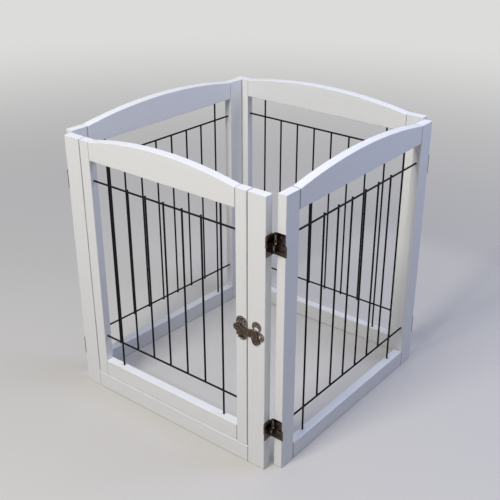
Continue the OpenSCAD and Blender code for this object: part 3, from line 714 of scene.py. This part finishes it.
for corner, (_, _, _, first, other) in CORNERS.items():
    for second, owner in ((False, first), (True, other)):
        made = [leaf(corner, second, z) for z in HINGE_HEIGHTS]
        node = f"{corner}_hinge_{owner}_leaves"
        piece(f"{corner}_{owner}_rolled_leaves", sum((m[0] for m in made), []), owner + "_panel",
              node, bronze, rub=sum((m[1] for m in made), []))

# %% [markdown]
# A link is one stamped plate between the two pins, with a middle knuckle on each. It is flat, so its knuckles are
# short tubes joined to the plate.

# %% Links
def link(corner, second, height):
    """One link: a half-height plate with a tube round each pin."""
    place = corner_frame(corner, second, height)
    edge = KNUCKLE_R + 0.5
    tall = rounded_rectangle(OUTER_Y + edge, SPLIT + KNUCKLE_GAP / 2, -edge, HALF_H - KNUCKLE_GAP / 2, 0.8)
    tab = rounded_rectangle(OUTER_Y + 0.6, knuckle_z(1), -0.6, knuckle_z(1) + KNUCKLE_H, 0.3)
    skins, rubs = [], []

    def on_side(p):
        return place(np.column_stack([p[:, 2] - LEAF_T / 2, p[:, 0], p[:, 1]]))

    for outline in (tall, tab):
        skin, rub = plate(outline, LEAF_T, 0.25, on_side)
        skins.append(skin)
        rubs.append(rub)
    for y in (0, OUTER_Y):
        p, f = lathe(rod_profile(KNUCKLE_R, KNUCKLE_H, 0.2), [0, y, knuckle_z(1)], [0, 0, 1], 28)
        skins.append((place(p), f))
        rubs.append(np.full(len(p), 0.25))
    return skins, rubs


for second, owner in ((False, "front"), (True, "right")):
    made = [link("near", second, z) for z in HINGE_HEIGHTS]
    piece(f"near_{owner}_links", sum((m[0] for m in made), []), owner + "_panel",
          f"near_hinge_{owner}_links", bronze, rub=sum((m[1] for m in made), []))

# %% [markdown]
# The pins are headed over at their ends, so that they can't fall out. Each end shows as a small dome.

# %% Corner pins
PIN_HEAD = 0.5


def pin(corner, second, height, y, z0, z1):
    """One pin from z0 to z1 with a low dome on each end."""
    place = corner_frame(corner, second, height)
    p, f = lathe(rod_profile(PIN_R + 0.1, z1 - z0 + 0.2, 0.25, PIN_HEAD), [0, y, z0 - 0.1], [0, 0, 1], 20)
    return (place(p), f), np.full(len(p), 0.5)


def pins_of(panel):
    """Pins that a panel carries: the inner ones as first panel, and at the near corner its own outer ones."""
    made = []
    for corner, (_, _, _, first, other) in CORNERS.items():
        for z in HINGE_HEIGHTS:
            if panel == first:
                made.append(pin(corner, False, z, 0, -HALF_H, HALF_H))
            if corner == "near" and panel in (first, other):
                made.append(pin(corner, panel == other, z, OUTER_Y, SPLIT, HALF_H))
    return made


for panel in ("front", "right"):
    made = pins_of(panel)
    piece(panel + "_domed_pins", [m[0] for m in made], panel + "_panel",
          panel + "_hinge_pins", bronze, rub=[m[1] for m in made])

# %% [markdown]
# ## Door hinges
# The door hangs on two butt hinges, screwed into the gap with the barrel on the inside. Frame and door knuckles
# take turns along the pin.

# %% Door hinges
DOOR_PIN = np.array(joints["door_swing"]["pos_m"][:2]) / MM
DOOR_GAP = (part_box("door_stile_hinge_side")[0].x - left_high.x) / MM
DOOR_HINGE_HEIGHTS, DOOR_LEAF_H, DOOR_LEAF_T = (484.0, 143.0), 66.0, 0.95
DOOR_KNUCKLE_R, DOOR_KNUCKLES = 2.9, 5
door_step = DOOR_LEAF_H / DOOR_KNUCKLES


def door_leaf(side, first, height):
    """Leaf in the gap: side -1 on the frame, 1 on the door, with every second knuckle."""
    inner_face = PANEL_T / 2 - DOOR_PIN[1]
    x0 = -DOOR_GAP / 2 if side < 0 else DOOR_GAP / 2 - DOOR_LEAF_T
    outline = rounded_rectangle(inner_face - PANEL_T + 2.5, -DOOR_LEAF_H / 2, inner_face - 0.1, DOOR_LEAF_H / 2, 1.0)
    shift = np.array([DOOR_PIN[0], DOOR_PIN[1], height])

    def in_gap(p):
        return np.column_stack([p[:, 2] + x0, p[:, 0], p[:, 1]]) + shift

    skin, rub = plate(outline, DOOR_LEAF_T, 0.22, in_gap)
    skins, rubs = [skin], [rub]
    for k in range(first, DOOR_KNUCKLES, 2):
        z = -DOOR_LEAF_H / 2 + k * door_step + KNUCKLE_GAP / 2
        tall = door_step - KNUCKLE_GAP
        p, f = lathe(rod_profile(DOOR_KNUCKLE_R, tall, 0.25), [0, 0, z], [0, 0, 1], 32)
        tab = rounded_rectangle(inner_face - 1, z, 0, z + tall, 0.2)
        tab_skin, tab_rub = plate(tab, DOOR_LEAF_T, 0.15, in_gap)
        skins += [(p + shift, f), tab_skin]
        rubs += [np.full(len(p), 0.25), tab_rub]
    return skins, rubs


DOOR_LEAVES = ((-1, 0, "front_panel", "door_hinge_frame_leaves"), (1, 1, "door", "door_hinge_door_leaves"))
for side, first, body, node in DOOR_LEAVES:
    made = [door_leaf(side, first, z) for z in DOOR_HINGE_HEIGHTS]
    piece(node.replace("_leaves", "_butt_leaves"), sum((m[0] for m in made), []), body, node,
          bronze, rub=sum((m[1] for m in made), []))
skins = [lathe(rod_profile(1.85, DOOR_LEAF_H + 0.4, 0.3, 0.7), [*DOOR_PIN, z - DOOR_LEAF_H / 2 - 0.2], [0, 0, 1], 24)
         for z in DOOR_HINGE_HEIGHTS]
piece("door_hinge_domed_pins", skins, "front_panel", "door_hinge_pins", bronze,
      rub=[np.full(len(s[0]), 0.5) for s in skins])

# %% [markdown]
# ## Screws
# Small cross-head screws hold every plate. The head is a shallow dome that sits in its countersink, with a cross
# pressed into it. It is a height over a disc: dome minus cross, with sloping walls.

# %% Screw heads
SCREW_HEAD_R, SCREW_DOME, CROSS_DEPTH = 2.6, 0.55, 0.6
CROSS_LONG, CROSS_WIDE = 1.5, 0.38


def screw(at, out, turn_by, length=11.0):
    """Screw: rings of a disc at height dome * (1 - (r/R)^2) - depth * cross, then down a cone to the shank."""
    out, side, other = across(out)
    a = np.linspace(0, 2 * math.pi, 48, endpoint=False)
    r = np.linspace(0.12, 1, 9)[:, None] * SCREW_HEAD_R
    x, y = r * np.cos(a + turn_by), r * np.sin(a + turn_by)

    def arm(u, v):
        return np.clip((CROSS_LONG - np.abs(u)) / 0.3, 0, 1) * np.clip((CROSS_WIDE - np.abs(v)) / 0.16 + 0.5, 0, 1)

    cross = np.maximum(arm(x, y), arm(y, x))
    height = 0.05 + SCREW_DOME * (1 - (r / SCREW_HEAD_R) ** 2) - CROSS_DEPTH * cross
    head = [(r[k], height[k]) for k in range(len(r))]
    tail = [(SCREW_HEAD_R, -0.12), (1.4, -1.3), (1.4, 2.0 - length), (0.3, -length)]
    radius = np.array([np.full(48, k[0]) for k in head + tail])
    level = np.array([np.broadcast_to(k[1], 48) for k in head + tail])
    circle = np.cos(a)[:, None] * side + np.sin(a)[:, None] * other
    rings = np.asarray(at) + radius[..., None] * circle + level[..., None] * out
    top = np.asarray(at) + (0.05 + SCREW_DOME - CROSS_DEPTH) * out
    points, faces = closed_skin(rings, top, np.asarray(at) - (length + 0.2) * out)
    rub = np.concatenate([np.repeat([0.2] * 5 + [0.5, 0.7, 0.9, 0.9] + [0.4, 0, 0, 0], 48), [0, 0]])
    return (points, faces), rub


SCREW_STEPS = np.array([-0.34, 0, 0.34]) * HALF_H * 2
DOOR_SCREW_STEPS, DOOR_SCREW_Y = (-22.0, 0.0, 22.0), 8.0
draw = np.random.default_rng(7)


def end_screws(panel, x, side):
    """Corner hinge screws in one end of a panel, pointing along side * X of its plan."""
    out = turn(PLANS[panel][1]) @ [side, 0, 0]
    return [screw(in_room(panel, [[x + side * LEAF_T, PANEL_T / 2, z + s]])[0], out, draw.uniform(0, math.pi))
            for z in HINGE_HEIGHTS for s in SCREW_STEPS]


def gap_screws(x, side):
    """Door hinge screws in the gap between frame and door."""
    return [screw(in_room("front", [[x + side * DOOR_LEAF_T, DOOR_SCREW_Y, z + s]])[0], [side, 0, 0],
                  draw.uniform(0, math.pi)) for z in DOOR_HINGE_HEIGHTS for s in DOOR_SCREW_STEPS]


print("a screw has", sum(len(f) for f in screw([0, 0, 0], [0, 0, 1], 0)[0][1]), "faces")

# %% [markdown]
# ## The latch
# A cast lever with a finger end and a curved horn swings on a rivet over two lobed plates. Its arm drops behind a
# small lip on the door's plate. The castings are soft-edged and crowned, and rubbed bright at their edges.

# %% Latch plates
LATCH_Z = 311.0
PLATE_T, LEVER_T, LEVER_BACK = 1.5, 2.0, 2.0
pivot_x = joints["latch_lift"]["pos_m"][0] / MM + PANEL_W / 2
pivot_z = joints["latch_lift"]["pos_m"][2] / MM
catch_x = PANEL_W - JAMB_W - DOOR_GAP - 12.5
jamb_x = PANEL_W - JAMB_W / 2 + 3.5


def on_face(depth):
    """Function that lays (x, z, height) points on the front panel's outer face, starting at a depth in front."""
    return lambda p: in_room("front", np.column_stack([p[:, 0], -depth - p[:, 2], p[:, 1]]))


CATCH_LOBES = [(catch_x + 1.4, LATCH_Z + 14.3, 12.4), (catch_x + 3.2, LATCH_Z - 13.8, 10.3),
               (catch_x - 1.2, LATCH_Z - 9, 6.7)]
CATCH_LOBES += [(catch_x + x, LATCH_Z + z, 5.0) for x in (-6.0, 8.7) for z in np.arange(-3, 13, 1.5)]
skin, rub = plate(lobes(CATCH_LOBES, [catch_x, LATCH_Z]), PLATE_T, 0.45, on_face(0.0), crown=0.25)
ARM_R = 8.0
arm_end = np.array([pivot_x - 32, pivot_z + 0.6])
lip_x, lip_w, lip_drop = catch_x - 4, 9.0, 2.3
lip_top = arm_end[1] - ARM_R - 0.5
reach = LEVER_BACK + LEVER_T + 1.7
bend_path = np.array([[0, -PLATE_T + 0.6, 0], [0, -reach + 1.6, 0], [0, -reach + 0.95, 0.2], [0, -reach + 0.6, 0.8],
                      [0, -reach + 0.6, lip_drop + 0.75]])
bend_path = bend_path + [lip_x + lip_w / 2, 0, lip_top - lip_drop - 0.75]
lip_section = rounded_section(1.2, lip_w, 0.35)
p, f = carried(bend_path, lip_section, [1, 0, 0])
catch_skins = [skin, (in_room("front", p), f)]
catch_rub = [rub, np.full(len(p), 0.7)]
piece("latch_catch", catch_skins, "door", "latch_catch_plate", hammered, rub=catch_rub)

# %% [markdown]
# The frame's plate has an open loop above, an ear at the right and a lobe below. Loop and ear are rings: a rounded
# section carried round a closed line that runs halfway between an outer circle and an inner one.

# %% Lever plate and rivet
def ring(outer, inner, least):
    """Ring between circles (x, z, r): middle line at (outer + inner) / 2, width |outer - inner| at each angle."""
    a = np.linspace(0, 2 * math.pi, 73)
    ray = np.stack([np.cos(a), np.sin(a)], -1)
    far, near = (np.array(c[:2]) + c[2] * ray for c in (outer, inner))
    line, width = (far + near) / 2, np.maximum(((far - near) * ray).sum(1), least)
    path = np.column_stack([line[:, 0], np.full(73, -PLATE_T / 2), line[:, 1]])
    p, f = carried(path, rounded_section(1.0, PLATE_T, 0.12), [0, -1, 0], width)
    return in_room("front", p), f


LEVER_LOBES = [(jamb_x - 1, LATCH_Z - 13.5, 8.8), (jamb_x - 6, LATCH_Z - 3, 5.0), (jamb_x - 5, LATCH_Z + 4, 5.0),
               (jamb_x - 2, LATCH_Z - 6, 6.0)]
skin, rub = plate(lobes(LEVER_LOBES, [jamb_x - 3, LATCH_Z - 7]), PLATE_T, 0.45, on_face(0.0), crown=0.25)
loop = ring((jamb_x - 1.9, LATCH_Z + 16.3, 10.0), (jamb_x - 2.5, LATCH_Z + 10, 4.7), 2.0)
ear = ring((jamb_x + 5.6, LATCH_Z - 3.7, 9.8), (jamb_x + 4.2, LATCH_Z - 3.9, 3.0), 4.0)
boss = lathe(rod_profile(4.2, LEVER_BACK - 0.1, 0.3), in_room("front", [[pivot_x, 0, pivot_z]])[0], [0, -1, 0], 40)
piece("latch_lever_back", [skin, loop, ear, boss], "front_panel", "latch_lever_plate", hammered,
      rub=[rub, *(np.full(len(part[0]), 0.35) for part in (loop, ear, boss))])
rivet_at = in_room("front", [[pivot_x, 0, pivot_z]])[0]
t = np.linspace(0, math.pi / 2, 8)
head_s = LEVER_BACK + LEVER_T + 0.1
RIVET_HEAD_R = 3.4
rivet_profile = [(1.9, 0.2), (1.95, head_s), (RIVET_HEAD_R - 0.1, head_s), (RIVET_HEAD_R, head_s + 0.2)]
rivet_profile += [(RIVET_HEAD_R * math.cos(u), head_s + 0.2 + 0.9 * math.sin(u)) for u in t[1:-1]]
rivet = lathe(rivet_profile, rivet_at, [0, -1, 0], 36)
piece("latch_domed_rivet", [rivet], "front_panel", "latch_rivet", bronze,
      rub=[np.full(len(rivet[0]), 0.6)])

# %% [markdown]
# The lever is a casting with a crowned face. Its outline is the outer edge of a chain of discs: along the arm, which
# rises to the right, down the horn, a finger tab, and small discs that give the arm's end its blunt corners.

# %% Lever
elbow, ELBOW_R = np.array([pivot_x - 0.5, pivot_z + 8.5]), 8.8
horn, HORN_R = np.array([pivot_x + 3.3, pivot_z - 9.2]), 6.8
share = np.linspace(0, 1, 14)[:, None]
arm_discs = np.column_stack([arm_end + (elbow - arm_end) * share, ARM_R + (ELBOW_R - ARM_R) * share])
horn_discs = np.column_stack([elbow + (horn - elbow) * share, ELBOW_R + (HORN_R - ELBOW_R) * share])
tab = [pivot_x - 39.4, pivot_z + 8.8, ARM_R]
CORNER_R = 2.0
rise = np.linspace(CORNER_R - ARM_R, ARM_R - CORNER_R, 25)
blunt = [(arm_end[0] + x, arm_end[1] + z, CORNER_R) for x, z in
         [(rise[0], z) for z in rise] + [(x, z) for x in rise[:13] for z in (rise[0], rise[-1])]]
lever_outline = lobes([*arm_discs, *horn_discs, *blunt, tab], elbow - [2.0, 3.0], 240)
skin, rub = plate(lever_outline, LEVER_T - 0.4, 0.7, on_face(LEVER_BACK), crown=0.4)
piece("latch_cast_lever", [skin], "latch_lever", "latch_lever", handled, rub=[rub])

# %% [markdown]
# With all plates in place, the screws go in, one group for each body that carries them.

# %% Set the screws
LATCH_SCREW_L = 10.0
LEVER_PLATE_SCREWS = [(jamb_x - 1.5, LATCH_Z + 20.8), (jamb_x + 9.4, LATCH_Z - 4)]
CATCH_SCREWS = [(catch_x, LATCH_Z + 17), (catch_x + 8.4, LATCH_Z - 16.5)]


def face_screws(places):
    """Latch screws, pointing out of the front panel's outer face."""
    return [screw(in_room("front", [[x, -PLATE_T - 0.15, z]])[0], [0, -1, 0], draw.uniform(0, math.pi), LATCH_SCREW_L)
            for x, z in places]


SCREW_GROUPS = {
    "front": end_screws("front", 0, -1) + end_screws("front", PANEL_W, 1) + gap_screws(JAMB_W, 1)
    + face_screws(LEVER_PLATE_SCREWS),
    "door": gap_screws(JAMB_W + DOOR_GAP, -1) + face_screws(CATCH_SCREWS),
    "right": end_screws("right", 0, -1) + end_screws("right", PANEL_W, 1),
    "back": end_screws("back", 0, -1),
    "left": end_screws("left", PANEL_W, 1),
}
for group, made in SCREW_GROUPS.items():
    body = group if group == "door" else group + "_panel"
    piece(group + "_cross_head_screws", [m[0] for m in made], body, group + "_screws", bronze,
          smooth=50, rub=[m[1] for m in made])

# %% [markdown]
# ## Floor and backdrop
# The gate stands on a wide pale floor that fades into the pale backdrop with distance. The pale tone and the fade
# are only for what the camera, metal and glass see; the light that the floor throws back onto the gate is that of a
# darker, warmer floor, which keeps the undersides and the shaded faces in shade.

# %% Floor
FLOOR_TONE, FLOOR_BOUNCE, BACKDROP_TONE = "#d0ccc5", "#7b756c", "#dcdcda"
r = np.concatenate([[0.02], np.geomspace(0.4, 40, 24)])
a = np.linspace(0, 2 * math.pi, 72, endpoint=False)
disc = np.stack([r[:, None] * np.cos(a), r[:, None] * np.sin(a), np.zeros((25, 72))], -1).reshape(-1, 3)
floor_mesh = bpy.data.meshes.new("floor")
floor_mesh.from_pydata(disc.tolist(), [], [q[::-1] for q in grid_faces(25, 72).tolist()] + [list(range(72))])
floor = bpy.data.objects.new("floor", floor_mesh)
bpy.context.scene.collection.objects.link(floor)
floor_material, tree = new_material("pale_floor")
place = add_node(tree, "TexCoord").outputs["Object"]
distance = add_node(tree, "VectorMath", {0: place}, operation="LENGTH")
fade = add_node(tree, "MapRange", {"Value": distance.outputs["Value"], "From Min": 0.9, "From Max": 3.6},
                interpolation_type="SMOOTHSTEP")
seen = seen_rays(tree)
share = add_node(tree, "Math", {0: seen.outputs[0], 1: fade.outputs[0]}, operation="MULTIPLY")
ground = add_node(tree, "Mix", {
    "Factor": seen.outputs[0], "A": linear(FLOOR_BOUNCE), "B": linear(FLOOR_TONE)}, data_type="RGBA")
matt = add_node(tree, "BsdfPrincipled", {"Base Color": ground.outputs["Result"], "Roughness": 0.6})
glow = add_node(tree, "Emission", {"Color": linear(BACKDROP_TONE), "Strength": 1.0})
mixed = add_node(tree, "MixShader", {0: share.outputs[0], 1: matt.outputs[0], 2: glow.outputs[0]})
add_node(tree, "OutputMaterial", {"Surface": mixed.outputs[0]})
floor_mesh.materials.append(floor_material)
print("floor radius", r[-1], "m")

# %% [markdown]
# ## Studio light
# A soft lamp hangs high in front, a weaker cool one at the right, and a broad faint one overhead, in a pale fill.
# The front faces are therefore bright, the right faces fall to a cool grey, and every shadow is soft.

# %% Lights and world
def soft_lamp(name, at, towards, size, watts, chip):
    """Square area lamp that faces a point."""
    data = bpy.data.lights.new(name, "AREA")
    data.shape, data.size, data.energy, data.color = "SQUARE", size, watts, linear(chip)[:3]
    lamp = bpy.data.objects.new(name, data)
    bpy.context.scene.collection.objects.link(lamp)
    lamp.location = at
    direction = np.asarray(towards, float) - np.asarray(at, float)
    lamp.rotation_euler = (math.acos(-direction[2] / np.linalg.norm(direction)), 0,
                           math.atan2(direction[1], direction[0]) - math.pi / 2)
    return lamp


MIDDLE = (0.0, 0.25, 0.3)
soft_lamp("key", (-0.05, -2.1, 2.5), MIDDLE, 1.0, 66, "#fffcf6")
soft_lamp("side", (1.15, 0.8, 1.6), MIDDLE, 0.8, 10, "#b8c8ff")
soft_lamp("top", (0.2, 0.6, 3.4), MIDDLE, 2.6, 18, "#f4f7ff")
world = bpy.data.worlds.new("studio")
bpy.context.scene.world = world
world.use_nodes = True
tree = world.node_tree
tree.nodes.clear()
seen = seen_rays(tree)
fill = add_node(tree, "Background", {"Color": linear("#dbe3fa"), "Strength": 0.34})
backdrop = add_node(tree, "Background", {"Color": linear(BACKDROP_TONE), "Strength": 1.0})
mixed = add_node(tree, "MixShader", {0: seen.outputs[0], 1: fill.outputs[0], 2: backdrop.outputs[0]})
add_node(tree, "OutputWorld", {"Surface": mixed.outputs[0]})
bpy.context.scene.view_settings.view_transform = "Standard"
print("three lamps and a pale world")
